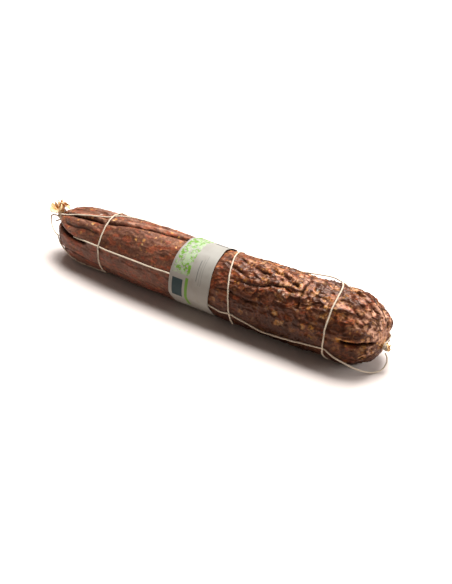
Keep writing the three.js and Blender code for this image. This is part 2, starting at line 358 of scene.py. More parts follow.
# %% [markdown]
# ## The floor
#
# A wide plane at the height that the sausage lies on. It isn't part of the object, so it is
# marked as stage.

# %% Floor
FLOOR_HALF = 4000.0
FLOOR_WHITE = (0.66, 0.59, 0.55, 1)
FLOOR_ROUGHNESS = 0.7

corners = np.array([(-1, -1, 0), (1, -1, 0), (1, 1, 0), (-1, 1, 0)]) * FLOOR_HALF
floor = add_object("floor", new_mesh("floor", corners, [], [(0, 1, 2, 3)]))
floor_paint = bpy.data.materials.new("floor_paint")
floor_paint.use_nodes = True
floor_shader = floor_paint.node_tree.nodes["Principled BSDF"]
floor_shader.inputs["Base Color"].default_value = FLOOR_WHITE
floor_shader.inputs["Roughness"].default_value = FLOOR_ROUGHNESS
floor.data.materials.append(floor_paint)
floor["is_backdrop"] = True

# %% [markdown]
# ## The colours and finishes
#
# The casing of a dried sausage is a thin, slightly glossy skin over meat and fat. The meat has
# gone a dark red-brown, and painted shade makes it nearly black in the folds and on the lower
# front. Fat shows through as amber and tan flecks, small ones everywhere and large ones towards
# the stub end. Raised places have a soft, dry, pinkish bloom, partly a painted highlight on the
# ridges, which is chalkiest on top near the stub end, and painted light makes the tops and the
# stub end paler still. The colour comes from masks that the mesh carries, where the shape and the
# colour have to agree, and from noise on Object coordinates for what is finer than the mesh.


# %% A material and its main shader
def new_material(name, roughness, **constants):
    """A material with a Principled shader. Constants are set on the shader's own sockets.

    Returns the material, its tree, its shader and the Object coordinates.
    """
    material = bpy.data.materials.new(name)
    material.use_nodes = True
    shader = material.node_tree.nodes["Principled BSDF"]
    shader.inputs["Roughness"].default_value = roughness
    for key, value in constants.items():
        shader.inputs[key.replace("_", " ")].default_value = value
    tree = Tree(material.node_tree)
    return material, tree, shader, tree.node("ShaderNodeTexCoord", None, None, "Object")


def feed(tree, shader, **sockets):
    """Links what changes over the surface to the shader's sockets."""
    for key, value in sockets.items():
        tree.nodes.links.new(value.socket, shader.inputs[key.replace("_", " ")])


def stretched(tree, where, times):
    """Coordinates squeezed so that a pattern is so many times longer along the sausage."""
    return tree.vector("MULTIPLY", where, (1 / times, 1, 1))


def bump(tree, height, strength, depth):
    """A normal from a height between 0 and 1, depth millimetres deep."""
    values = {"Strength": strength, "Distance": depth * MM, "Height": height}
    return tree.node("ShaderNodeBump", None, values)


# %% Casing
# Dark meat for the dark speckle and blotches, and also the colour of the painted shade in the folds and
# on the lower front.
DARK_MEAT_AND_SHADE = (0.022, 0.006, 0.003, 1)
MEAT = (0.185, 0.060, 0.032, 1)
MEAT_DUSKY = (0.155, 0.068, 0.045, 1)
MEAT_RED = (0.36, 0.055, 0.018, 1)
# A dusty bloom, also laid on as painted light on the tops, the ridges and the stub end.
BLOOM_AND_PAINTED_LIGHT = (0.60, 0.35, 0.245, 1)
FAT_AMBER = (0.60, 0.26, 0.05, 1)
FAT_TAN = (0.66, 0.42, 0.18, 1)
MOULD = (0.90, 0.82, 0.70, 1)
BARE = (0.62, 0.38, 0.16, 1)

WARP_SIZE = 1000 / 140
WARP_BY = 2.5
FLECK_WARP_BY = 7.0
VEIN_SPACING = 5.0

casing, tree, shader, where = new_material(
    "dried_casing", 0.4, Coat_Weight=0.12, Coat_Roughness=0.22, Coat_Tint=(1, 0.8, 0.7, 1),
    Specular_IOR_Level=0.24, Specular_Tint=(1, 0.50, 0.30, 1),
)
warp = tree.noise(where, WARP_SIZE, 2, output="Color")
bent = tree.vector("ADD", tree.scaled(warp, WARP_BY * MM), where)
astray = tree.vector("ADD", tree.scaled(warp, FLECK_WARP_BY * MM), where)
streaked = stretched(tree, bent, 1.7)
fatty, relief, kind, crest, upper, chalk_and_painted_light, shade = (
    tree.mask(name) for name in ("fatty", "relief", "kind", "crest", "upper", "chalk_and_painted_light", "shade")
)
blotches = tree.noise(stretched(tree, where, 2), 16, 3, 0.55)
patches = tree.noise(streaked, 6, 3, 0.55)
grain = tree.noise(where, 1.3, 4, 0.65)
marbling = tree.noise(streaked, 3, 4, 0.6)
speckle = tree.noise(bent, 1.9, 4, 0.7)

meat = tree.mix(fatty.ramp(0.1, 0.5), MEAT_DUSKY, MEAT)
meat = tree.mix(patches.ramp(0.50, 0.60) * (fatty * 0.5 + 0.4), meat, MEAT_RED)
meat = tree.mix(speckle.ramp(0.52, 0.38) * 0.45, meat, DARK_MEAT_AND_SHADE)
meat = tree.mix(blotches.ramp(0.38, 0.62, 0.35, 0) + fatty * 0.32, meat, DARK_MEAT_AND_SHADE)
# Painted shade: the lower front of the right half darkens towards nearly black.
meat = tree.mix(shade, meat, DARK_MEAT_AND_SHADE)
veins = tree.cells(bent, VEIN_SPACING, "DISTANCE_TO_EDGE")
vein_fat = veins.ramp(0.12, 0.02) * patches.ramp(0.46, 0.58) * (fatty * 0.4 + 0.05)
lump_fat = kind.ramp(0.45, 0.75) * crest.ramp(0.3, 0.75) * (fatty * 0.75 + 0.05)
lump_fat = lump_fat * marbling.ramp(0.42, 0.54)
thin_fat = speckle.ramp(0.60, 0.67) * (fatty * 0.3 + 0.4)


def flecks(spacing, size, kept):
    """Ragged flecks of fat, spacing and size in millimetres. A share of them is kept."""
    cell = tree.cells(astray, spacing)
    chance = tree.parted(cell.other("Color"))
    shown = chance.ramp(0.97 - kept, 1.03 - kept) * chance.other("Y").ramp(0.0, 1.0, 0.2, 0.9)
    return cell.ramp(size / spacing, 0.4 * size / spacing) * shown


small_flecks = flecks(4.5, 1.9, 0.36)
large_flecks = flecks(9.0, 3.8, 0.5) * fatty * marbling.ramp(0.35, 0.5)
fat = lump_fat.at_least(thin_fat).at_least(vein_fat).at_least(small_flecks)
fat_colour = tree.mix(tree.noise(bent, 3, 3, 0.55).ramp(0.45, 0.62), FAT_AMBER, FAT_TAN)
# Painted light: fat shows most on top and at the stub end.
flesh = tree.mix(fat * (upper * 0.65 + 0.2), meat, fat_colour)
flesh = tree.mix(large_flecks * 0.8, flesh, fat_colour)
# A dry bloom on raised places, partly a painted highlight on the ridges; it is strongest on top and at
# the stub end, which is painted light.
bloom_and_ridge_highlight = (relief + chalk_and_painted_light * 0.2 - 0.02).ramp(0.46, 0.70) * marbling.ramp(0.34, 0.6) * 0.8
flesh = tree.mix(bloom_and_ridge_highlight * (upper * 0.55 + chalk_and_painted_light * 0.5 + 0.06), flesh, BLOOM_AND_PAINTED_LIGHT)
# Painted shade: the hollows of the folds and lumps go nearly black, and the lower front darkens once
# more.
flesh = tree.mix(relief.ramp(0.46, 0.16) * 0.9, flesh, DARK_MEAT_AND_SHADE)
flesh = tree.mix(shade * 0.5, flesh, DARK_MEAT_AND_SHADE)
flesh = tree.mix(tree.mask("mould") * grain.ramp(0.35, 0.55), flesh, MOULD)
flesh = tree.mix(tree.mask("bare"), flesh, BARE)
roughness = 0.38 + grain * 0.16 + bloom_and_ridge_highlight * 0.3 + fat * -0.06
fine = grain * 0.5 + tree.noise(stretched(tree, where, 2.5), 1.8, 3, 0.55) * 0.6
feed(tree, shader, Base_Color=flesh, Roughness=roughness, Normal=bump(tree, fine, 0.6, 0.6))
print("casing:", len(casing.node_tree.nodes), "nodes")

# %% Twine
COTTON = (0.52, 0.42, 0.30, 1)
COTTON_SHADE = (0.30, 0.22, 0.14, 1)
COTTON_LIGHT = (0.62, 0.54, 0.43, 1)

# The fibres' coordinates run along the twine, in blobs a metre, and round each ply.
FIBRES_ALONG = 160
FIBRES_ROUND = 9

twine_finish, tree, shader, where = new_material("twine", 0.8, Sheen_Weight=0.25, Sheen_Roughness=0.5)
along_twine = tree.mask("along_twine") * FIBRES_ALONG
around_ply = tree.mask("around_ply") * FIBRES_ROUND
fibre = tree.node("ShaderNodeCombineXYZ", None, {0: along_twine, 1: around_ply, 2: 0.0})
fibres = tree.noise(fibre, 1 / MM)
stain = tree.noise(where, 11, 3, 0.55)
cotton = tree.mix(fibres.ramp(0.35, 0.65), COTTON, COTTON_LIGHT)
cotton = tree.mix(stain.ramp(0.5, 0.75) * 0.7, cotton, COTTON_SHADE)
normal = bump(tree, fibres, 0.6, 0.12)
feed(tree, shader, Base_Color=cotton, Roughness=0.7 + fibres * 0.25, Normal=normal)
print("twine:", len(twine_finish.node_tree.nodes), "nodes")

# %% Paper
PAPER = (0.25, 0.235, 0.205, 1)
PAPER_AGED = (0.16, 0.13, 0.105, 1)
LEAF_GREEN = (0.095, 0.21, 0.014, 1)
PALE_GREEN = (0.27, 0.34, 0.20, 1)
DEEP_TEAL = (0.004, 0.022, 0.024, 1)
INK = (0.03, 0.035, 0.04, 1)

paper_finish, tree, shader, where = new_material("paper", 0.55, Specular_IOR_Level=0.3)
place = tree.node("ShaderNodeUVMap", {"uv_map": "band"})
angle = tree.parted(place) * 360 - 90
across_band = tree.parted(place, 1)


def stripe(value, low, high, soft):
    """1 where value is between low and high, with soft edges."""
    return value.ramp(low - soft, low + soft) * value.ramp(high + soft, high - soft)


pulp = tree.noise(where, 0.6, 4, 0.55)
wear = tree.noise(where, 13, 4, 0.55)
mottle = tree.noise(where, 5, 4, 0.6)
leaf = tree.mix(mottle.ramp(0.46, 0.54), PALE_GREEN, LEAF_GREEN)
leaf = tree.mix(tree.noise(where, 3, 3, 0.55).ramp(0.50, 0.58), leaf, PAPER)
paper = tree.mix(wear.ramp(0.45, 0.8) * 0.5, PAPER, PAPER_AGED)
# What is printed: shares of the width, angles, how soft its edges are in each, strength, colour.
for low, high, start, end, soft, soft_turn, strength, ink in (
    (0.05, 0.47, 26, 128, 0.006, 0.6, 1.0, leaf),
    (0.40, 0.47, -34, 22, 0.006, 0.6, 1.0, LEAF_GREEN),
    (0.08, 0.34, -15, 17, 0.006, 0.4, 1.0, DEEP_TEAL),
    (0.645, 0.66, 22, 58, 0.004, 0.5, 0.75, INK),
    (0.71, 0.72, 16, 62, 0.004, 0.5, 0.4, INK),
    (0.76, 0.77, 16, 70, 0.004, 0.5, 0.4, INK),
    (0.55, 0.95, 112, 120, 0.004, 0.5, 0.8, INK),
):
    inside = stripe(across_band, low, high, soft) * stripe(angle, start, end, soft_turn)
    paper = tree.mix(inside * strength, paper, ink)
feed(tree, shader, Base_Color=paper, Roughness=0.5 + pulp * 0.15, Normal=bump(tree, pulp, 0.25, 0.06))
print("paper:", len(paper_finish.node_tree.nodes), "nodes")

# %% Bare casing
HUSK = (0.60, 0.31, 0.09, 1)
HUSK_PALE = (0.66, 0.46, 0.24, 1)
HUSK_DARK = (0.42, 0.19, 0.05, 1)

husk_finish, tree, shader, where = new_material(
    "bare_casing", 0.45, Subsurface_Weight=0.12, Subsurface_Scale=0.001,
)
streaks = tree.noise(where, 1.6, 4, 0.55)
clumps = tree.noise(where, 5, 3, 0.55)
husk = tree.mix(streaks.ramp(0.35, 0.62), HUSK_DARK, HUSK)
husk = tree.mix(clumps.ramp(0.42, 0.6).at_least(tree.mask("rim")), husk, HUSK_PALE)
feed(tree, shader, Base_Color=husk, Roughness=0.4 + streaks * 0.3, Normal=bump(tree, streaks, 0.5, 0.3))
print("bare casing:", len(husk_finish.node_tree.nodes), "nodes")

# %% [markdown]
# ## The shape of the sausage
#
# A sausage is a tube of nearly round sections, with blunt rounded ends that are gathered to a
# neck. So a place on it is two numbers: how far along it is, x, and an angle round it, 0 at the
# front, 90 on top, 180 at the back. A few formulas give the girth, the rounding of the ends and
# the centre of each section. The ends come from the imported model.

# %% Girth, rounding and centre line
NECK_LEFT, NECK_RIGHT = 3.2, 2.3
NECK_LENGTH = 4.2
body_low, body_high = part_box("sausage_body")
LEFT = body_low.x / MM + NECK_LENGTH
RIGHT = body_high.x / MM - NECK_LENGTH
HALF = (RIGHT - LEFT) / 2
GIRTH_LEFT, GIRTH_MIDDLE, GIRTH_RIGHT = 25.0, 30.0, 32.0
CAP_LENGTH = 37.0
CAP_POWER = 2.15
SAG = 4.0
SOLE = 0.5
GATHER_Z_LEFT, GATHER_RISE_LEFT = 34.0, 1.0
GATHER_Z_RIGHT, GATHER_RISE_RIGHT = 23.0, -0.2


def smooth(value, low, high):
    """0 below low, 1 above high, and smooth between them."""
    share = np.clip((value - low) / (high - low), 0, 1)
    return share * share * (3 - 2 * share)


def bell(distance, width):
    """1 at no distance, falling off smoothly over a width."""
    return np.exp(-((distance / width) ** 2))


def girth(x):
    """The plain section's radius, before the ends are rounded."""
    share = np.clip(x / HALF, -1, 1)
    return GIRTH_MIDDLE + (np.where(share < 0, GIRTH_LEFT, GIRTH_RIGHT) - GIRTH_MIDDLE) * share**2


def taper(x):
    """The rounding of the ends: 0 at each tip, 1 past the cap."""
    inward = np.clip(np.minimum(x - LEFT, RIGHT - x) / CAP_LENGTH, 0, 1)
    return (1 - (1 - inward) ** CAP_POWER) ** (1 / CAP_POWER)


def centre(x):
    """The centre of the section at x, as y and z."""
    share = np.clip(x / HALF, -1, 1)
    pull = (1 - taper(x)) ** 1.3
    beyond = np.maximum(np.maximum(LEFT - x, x - RIGHT), 0)
    gather = np.where(x < 0, GATHER_Z_LEFT, GATHER_Z_RIGHT)
    rise = np.where(x < 0, GATHER_RISE_LEFT, GATHER_RISE_RIGHT)
    y = -SAG * (1 - share**2) * (1 - pull)
    z = (girth(x) - SOLE) * (1 - pull) + gather * pull + beyond * rise
    return y, z


def centre_point(x):
    """The centre of the section at one x, as a point."""
    return np.array([x, *(float(c) for c in centre(float(x)))])


def polar(x, angle, radius):
    """Points at an angle round the centre line, and that far from it."""
    y, z = centre(x)
    turned = np.radians(angle)
    return np.stack([x + 0 * turned, y - np.cos(turned) * radius, z + np.sin(turned) * radius], axis=-1)


def base_radius(x):
    """The plain section's radius, blended into the neck at each end."""
    return ((girth(x) * taper(x)) ** 4 + np.where(x < 0, NECK_LEFT, NECK_RIGHT) ** 4) ** 0.25


print(f"body from {LEFT:.0f} to {RIGHT:.0f} mm, {2 * GIRTH_MIDDLE:.0f} mm thick at the middle")

# %% [markdown]
# ## Folds and swellings
#
# As a sausage dries, its casing shrinks and folds. The big folds are few, so each one is listed
# as a line of places [x, angle] with a depth and a width. Each vertex then finds its nearest
# place on the line, and sinks there. A soft lip stands up beside it, on the side that the fold
# leans over, and fades out. Swellings are round bumps where fat lies under the skin.

# %% Named folds
# Each fold is its depth, its width, the height of its lip, and its line of places (x, angle).
FOLDS = [
    # towards the left end, on top and in front
    (2.8, 1.5, 1.3, [(-178, 72), (-165, 67), (-148, 63), (-126, 66), (-113, 64)]),
    (2.2, 1.6, 1.3, [(-115, 66), (-104, 71), (-86, 79), (-60, 86), (-36, 89), (-18, 91)]),
    (4.5, 1.7, 1.0, [(-178, 34), (-170, 31), (-160, 25), (-150, 20), (-138, 18), (-126, 17)]),
    (1.3, 1.3, 0.7, [(-104, 92), (-86, 104), (-60, 109), (-30, 112)]),
    (1.0, 1.2, 0.5, [(-92, 84), (-66, 90), (-38, 97), (-20, 100)]),
    (1.2, 1.4, 0.6, [(-134, 86), (-118, 96), (-100, 118), (-70, 126)]),
    (1.4, 1.6, 0.6, [(-178, -14), (-166, -20), (-148, -16), (-124, -24), (-90, -30)]),
    (1.3, 1.6, 0.6, [(-164, 44), (-150, 40), (-130, 44), (-112, 40)]),
    # left end, at the back and below
    (2.4, 1.8, 1.0, [(-178, 124), (-160, 138), (-134, 148), (-96, 154), (-54, 150)]),
    (2.0, 1.8, 0.8, [(-178, 176), (-158, 182), (-128, 178), (-92, 186)]),
    (2.0, 1.8, 0.8, [(-178, 226), (-150, 222), (-120, 214), (-70, 212)]),
    (1.6, 1.6, 0.6, [(-178, -60), (-160, -64), (-132, -58), (-104, -62)]),
    # between the band and the right end
    (1.6, 1.4, 0.9, [(36, 92), (50, 83), (64, 76), (74, 74)]),
    (2.0, 1.5, 1.0, [(66, 92), (82, 85), (97, 73), (107, 64)]),
    (1.4, 1.4, 0.7, [(46, 47), (59, 47), (70, 49), (78, 56), (92, 61), (105, 54)]),
    (2.2, 1.5, 0.8, [(107, 94), (109, 80), (110, 65), (111, 47), (112, 28)]),
    (1.2, 1.4, 0.6, [(28, 70), (42, 64), (54, 58)]),
    (1.0, 1.4, 0.5, [(26, 24), (40, 26), (60, 20), (80, 24)]),
    (1.6, 1.6, 0.8, [(30, 152), (62, 158), (96, 154), (124, 160)]),
    (1.4, 1.6, 0.7, [(40, 200), (80, 196), (118, 204), (150, 200)]),
    # the right end
    (6.0, 1.2, 1.0, [(155, 5), (162, 3), (169, 3), (175, 6), (179.5, 14)]),
    (3.0, 1.5, 1.3, [(142, 112), (151, 102), (158, 97), (165, 93), (171, 93), (176, 96)]),
    (0.9, 1.3, 0.4, [(151, 67), (160, 60), (169, 53)]),
    (1.1, 1.5, 0.6, [(163, 57), (164, 44), (170, 40)]),
    (0.9, 1.4, 0.5, [(144, 90), (158, 78), (168, 70)]),
    (2.6, 1.7, 1.0, [(152, 150), (166, 152), (175, 144), (180, 130)]),
    (2.4, 1.8, 1.0, [(150, 196), (164, 192), (175, 188), (180, 180)]),
    (2.2, 1.8, 0.8, [(154, 242), (168, 238), (178, 230)]),
    (1.6, 1.5, 0.6, [(158, -30), (168, -34), (177, -28)]),
]

# Each swelling is x, angle, height, half its length, and half its width round the sausage. One
# with a negative height is a hollow.
SWELLINGS = [
    (-136, 44, 1.2, 24, 9), (-70, 60, 1.1, 34, 10), (-152, 6, 0.9, 15, 10), (-140, 92, 0.8, 20, 8),
    (52, 62, 0.9, 7, 4), (56, 79, 1.0, 8, 4), (72, 49, 0.9, 8, 4), (85, 83, 1.0, 7, 5),
    (93, 50, 0.7, 8, 4), (120, 74, 0.9, 6, 5), (117, 22, 0.6, 8, 6), (132, 67, 0.8, 6, 4),
    (145, 56, 0.9, 6, 5), (153, 55, 0.9, 5, 4), (171, 28, 1.2, 7, 7), (170, 140, 0.8, 9, 8),
    (168, -16, 1.6, 10, 8), (150, 20, 0.7, 10, 9), (166, 78, 0.9, 6, 6), (168, 172, 1.2, 8, 8),
    (166, 218, 1.0, 8, 8), (176.5, 62, 0.8, 4, 11), (176.5, 155, 1.8, 4, 11),
    (176, -25, 1.4, 4, 10), (176.5, 215, 1.6, 4, 12), (164, 112, -1.6, 10, 14),
    (-175, -35, -3.0, 7, 16), (-172, -80, -2.4, 9, 14),
]
print(len(FOLDS), "folds and", len(SWELLINGS), "swellings")

# %% The grid of places
ROUND = 240
CAP_ROWS = 44
MIDDLE_ROWS = 300
NECK_ROWS = 6

cap = CAP_LENGTH * (1 - np.cos(np.linspace(0, math.pi / 2, CAP_ROWS, endpoint=False)))
neck = np.linspace(NECK_LENGTH, 0, NECK_ROWS, endpoint=False)
middle = np.linspace(LEFT + CAP_LENGTH, RIGHT - CAP_LENGTH, MIDDLE_ROWS)
rows = np.concatenate([LEFT - neck, LEFT + cap, middle, (RIGHT - cap)[::-1], (RIGHT + neck)[::-1]])
angles = np.arange(ROUND) * 360 / ROUND
grid_x, grid_angle = (g.ravel() for g in np.meshgrid(rows, angles, indexing="ij"))
print(len(rows), "rows of", ROUND)


# %% How far a fold or a swelling moves each place
def near_line(points, outward, line):
    """How far each point is from a line, on which side and how far along, and the line's length."""
    near = np.full(len(points), np.inf)
    side = np.zeros(len(points))
    along = np.zeros(len(points))
    lengths = np.linalg.norm(np.diff(line, axis=0), axis=1)
    passed = 0.0
    for start, end, length in zip(line[:-1], line[1:], lengths):
        step = (end - start) / length
        share = np.clip((points - start) @ step, 0, length)
        off = points - start - share[:, None] * step
        distance = np.linalg.norm(off, axis=1)
        closer = distance < near
        near[closer] = distance[closer]
        side[closer] = np.einsum("ij,ij->i", np.cross(step, off), outward)[closer]
        along[closer] = (passed + share)[closer]
        passed += length
    return near, np.sign(side), along, passed


def on_base(line, step=3.0):
    """A line of places [x, angle] as points on the plain surface, about step mm apart."""
    line = np.array(line, float)
    count = int(np.abs(np.diff(line, axis=0)).max(axis=1).sum() / step) + 2
    marks = np.linspace(0, len(line) - 1, count)
    x = np.interp(marks, range(len(line)), line[:, 0])
    angle = np.interp(marks, range(len(line)), line[:, 1])
    return polar(x, angle, base_radius(x))


FOLD_REACH = 9.0
FOLD_FADE = 7.0
# The lip's place and spread, in widths of the fold, and its share on the side it doesn't lean to.
LIP_AT = 2.3
LIP_SPREAD = 1.5
LIP_BEHIND = 0.35


def fold_height(points, outward, depth, width, lip, line):
    """How far a fold moves each point outwards."""
    line = on_base(line)
    height = np.zeros(len(points))
    inside = ((points > line.min(0) - FOLD_REACH) & (points < line.max(0) + FOLD_REACH)).all(1)
    near, side, along, length = near_line(points[inside], outward[inside], line)
    fade = smooth(np.minimum(along, length - along), -1.5, FOLD_FADE)
    stands = lip * np.where(side > 0, 1.0, LIP_BEHIND)
    stands = stands * bell(near - LIP_AT * width, LIP_SPREAD * width)
    height[inside] = fade * (stands - depth * bell(near, width))
    return height


# %% [markdown]
# ## Gathers
#
# At each end the casing is pulled together and tied, so pleats run out from the neck like the
# folds of a drawn purse. They are a wave round the neck that dies out a little way down the end.
# Besides the folds and swellings, two long shallow waves keep the surface from being too even.

# %% The plain surface, its outward direction, and the folds
PLEATS_LEFT, PLEATS_RIGHT = 13, 11
PLEAT_HEIGHT_LEFT, PLEAT_HEIGHT_RIGHT = 0.8, 0.45
PLEAT_REACH = 7.0


def across_skin(angle):
    """How far each place of the grid is from an angle, in millimetres round the sausage."""
    return np.radians(turn_from(angle, grid_angle)) * girth(grid_x)


plain = polar(grid_x, grid_angle, base_radius(grid_x))
shaped = plain.reshape(len(rows), ROUND, 3)
lengthwise = np.gradient(shaped, axis=0)
sideways = np.roll(shaped, -1, axis=1) - np.roll(shaped, 1, axis=1)
outward = np.cross(sideways, lengthwise).reshape(-1, 3)
outward /= np.linalg.norm(outward, axis=1, keepdims=True) + 1e-12
outward *= np.sign(np.einsum("ij,ij->i", outward, plain - polar(grid_x, grid_angle, 0))).reshape(-1, 1)

folded = np.zeros(len(plain))
for fold in FOLDS:
    folded += fold_height(plain, outward, *fold)
turned = np.radians(grid_angle)
swollen = 0.35 * np.sin(grid_x / 17 + 2 * turned) + 0.25 * np.sin(grid_x / 9.5 - 3 * turned + 1)
for x, angle, rise, length, width in SWELLINGS:
    swollen += rise * bell(grid_x - x, length) * bell(across_skin(angle), width)
from_tip = np.minimum(grid_x - LEFT, RIGHT - grid_x)
pleats = np.where(grid_x < 0, PLEATS_LEFT, PLEATS_RIGHT)
wave = np.sin(turned * pleats + 1.3 * np.sin(turned * 3)) + 0.5 * np.sin(turned * (pleats + 6) + 2)
gathers = np.where(grid_x < 0, PLEAT_HEIGHT_LEFT, PLEAT_HEIGHT_RIGHT) * wave
gathers *= bell(from_tip - 1.5, PLEAT_REACH) * smooth(from_tip, -4, 1)
fades = smooth(taper(grid_x), 0.12, 0.5)
height = (folded + swollen) * fades + gathers
print(f"folds sink {-folded.min():.1f} mm and stand up {folded.max():.1f} mm")


# %% [markdown]
# ## Skin that bulges with what is under it
#
# Between the big folds the skin bulges over lumps of meat and fat, and shrinks into fine
# lengthwise wrinkles. Both follow a rule, so a Geometry Nodes tree adds them: it moves each point
# of the plain mesh along its normal by Voronoi lumps and stretched noise. It also stores what it
# did as masks, so that the material can paint fat on the lumps and paint shade into the hollows.


# %% A tree's named inputs, and running it on an object
def new_tree(name, inputs):
    """A Geometry Nodes tree with named inputs. Returns the tree and its input sockets by name."""
    group = bpy.data.node_groups.new(name, "GeometryNodeTree")
    group.interface.new_socket("Geometry", in_out="INPUT", socket_type="NodeSocketGeometry")
    for key, value in inputs.items():
        kind = {int: "NodeSocketInt", float: "NodeSocketFloat"}.get(type(value), "NodeSocketMaterial")
        socket = group.interface.new_socket(key, in_out="INPUT", socket_type=kind)
        socket.default_value = value
    group.interface.new_socket("Geometry", in_out="OUTPUT", socket_type="NodeSocketGeometry")
    tree = Tree(group)
    source = group.nodes.new("NodeGroupInput")
    return tree, {socket.name: Socket(tree, socket) for socket in source.outputs if socket.name}


def close_tree(tree, geometry, material):
    """Ends a tree: smooth, real geometry, with its material."""
    soft = tree.node("GeometryNodeSetShadeSmooth", None, {"Geometry": geometry})
    real = tree.node("GeometryNodeRealizeInstances", None, {"Geometry": soft})
    painted = tree.node("GeometryNodeSetMaterial", None, {"Geometry": real, "Material": material})
    end = tree.nodes.nodes.new("NodeGroupOutput")
    tree.nodes.links.new(painted.socket, end.inputs[0])


def run_tree(tree, source, name, **inputs):
    """Runs a tree on an object and keeps the result as a plain mesh."""
    modifier = source.modifiers.new(name, "NODES")
    modifier.node_group = tree.nodes
    for item in tree.nodes.interface.items_tree:
        if item.in_out == "INPUT" and item.name in inputs:
            modifier[item.identifier] = inputs[item.name]
    return baked(source, name)


# %% The skin tree
SWIRL_SIZE = 1000 / 90
SWIRL_BY = 7.0
LUMP_STRETCH = 0.8
LUMP_MELT = 0.25
WRINKLE_STRETCH = 0.13
GRAIN_SIZE = 2.0

skin, given = new_tree("dried_skin", {
    "Lump size": 8.5,
    "Lump height": 2.9,
    "Crease depth": 0.9,
    "Wrinkle spacing": 5.0,
    "Wrinkle depth": 0.85,
    "Grain depth": 0.35,
    "Material": None,
})
position = skin.node("GeometryNodeInputPosition")
normal = skin.node("GeometryNodeInputNormal")
lumpy = skin.carried("fatty")
free = skin.carried("free")
swirl = skin.noise(position, SWIRL_SIZE, 2, output="Color")
swirled = skin.vector("ADD", position, skin.scaled(swirl, SWIRL_BY * MM))
lumps_at = skin.vector("MULTIPLY", swirled, (LUMP_STRETCH, 1, 1))
lump = skin.cells(lumps_at, given["Lump size"], "SMOOTH_F1", Smoothness=LUMP_MELT)
small_lump = skin.cells(lumps_at, given["Lump size"] / 2.2, "SMOOTH_F1", Smoothness=LUMP_MELT)
crease = skin.cells(lumps_at, given["Lump size"] / 1.5, "DISTANCE_TO_EDGE").ramp(0.14, 0.0)
chance = skin.parted(skin.cells(lumps_at, given["Lump size"], output="Color"))
wrinkles_at = skin.vector("MULTIPLY", swirled, (WRINKLE_STRETCH, 1, 1))
ripple = skin.noise(wrinkles_at, given["Wrinkle spacing"], 2)
valley = 1 - (abs(ripple - 0.5) * 7).ramp(0, 1)
fine_ripple = skin.noise(wrinkles_at, given["Wrinkle spacing"] / 2.6, 2)
grainy = skin.noise(position, GRAIN_SIZE)

rise = (0.5 - lump) * given["Lump height"] * (lumpy * 0.88 + 0.12) * (chance.other("Y") * 0.7 + 0.5)
rise = rise + (0.45 - small_lump) * given["Lump height"] * 0.4 * (lumpy * 0.8 + 0.2)
rise = rise - crease * given["Crease depth"] * (lumpy * 0.9 + 0.1)
rise = rise - valley * given["Wrinkle depth"] * (0.6 + lumpy * 0.1)
rise = rise + (fine_ripple - 0.5) * given["Wrinkle depth"] * (0.9 - lumpy * 0.55)
rise = (rise + (grainy - 0.5) * given["Grain depth"]) * free
moved = skin.shift(given["Geometry"], skin.scaled(normal, rise * MM))
moved = skin.store(moved, "relief", skin.carried("folded") * 0.16 + rise * 0.3 + 0.5)
moved = skin.store(moved, "kind", chance.other("X"))
moved = skin.store(moved, "crest", 1 - lump)
close_tree(skin, moved, given["Material"])
print("skin tree:", len(skin.nodes.nodes), "nodes")


# %% [markdown]
# ## Making the body's mesh
#
# The grid becomes quads, closed by a fan at each tip. The numbers that steer the tree and the
# casing's colour go in as attributes. Fat and lumps grow towards the stub end, the skin is less
# free to move at the tips, under the band and in the deep fold of the right end, painted shade
# darkens the lower front and underside of the right half, painted light pales the tops and the
# stub end, and the top of the right half is dry and chalky, with more painted light. Four small
# spots of mould and the bare skin past the ties complete the list.

# %% A closed mesh from rows of points
def closed_rows(name, points, count, around):
    """Rows of points round a tube, closed with a fan of triangles at each end."""
    points = np.vstack([points, points[:around].mean(0), points[-around:].mean(0)])
    first, last = len(points) - 2, len(points) - 1
    tip = (count - 1) * around
    fans = [(first, (i + 1) % around, i) for i in range(around)]
    fans += [(last, tip + i, tip + (i + 1) % around) for i in range(around)]
    return new_mesh(name, points, [], grid_quads(count, around) + fans)


def carry(mesh, name, values):
    """Stores a number at each point of a mesh."""
    attribute = mesh.attributes.new(name, "FLOAT", "POINT")
    padded = np.concatenate([values, np.zeros(len(mesh.vertices) - len(values))])
    attribute.data.foreach_set("value", padded.astype(np.float32))


# %% The body
BAND_EDGE = 22.0
# Each spot of mould is its x, its angle and its size.
MOULD_SPOTS = [(90, 52, 0.9), (121, 73, 0.7), (95, 49, 0.6), (-126, 84, 0.8)]

tips = smooth(taper(grid_x), 0.1, 0.6)
under_band = smooth(np.abs(grid_x), BAND_EDGE - 1, BAND_EDGE - 4)
mouth = bell(grid_x - 168, 14) * bell(turn_from(4, grid_angle), 9)
facing_up = smooth(np.sin(np.radians(grid_angle)), 0.1, 0.9)
turned_up = smooth(np.sin(np.radians(grid_angle - 15)), 0.0, 0.9)
# A chalky bloom on the stub end, strongest on top, which is also painted light.
chalk_and_painted_light_cap = bell(grid_x - 180, 14) * (0.4 + 0.6 * facing_up)
mould = np.zeros(len(grid_x))
for x, angle, size in MOULD_SPOTS:
    mould = np.maximum(mould, bell(np.hypot(grid_x - x, across_skin(angle)), size))

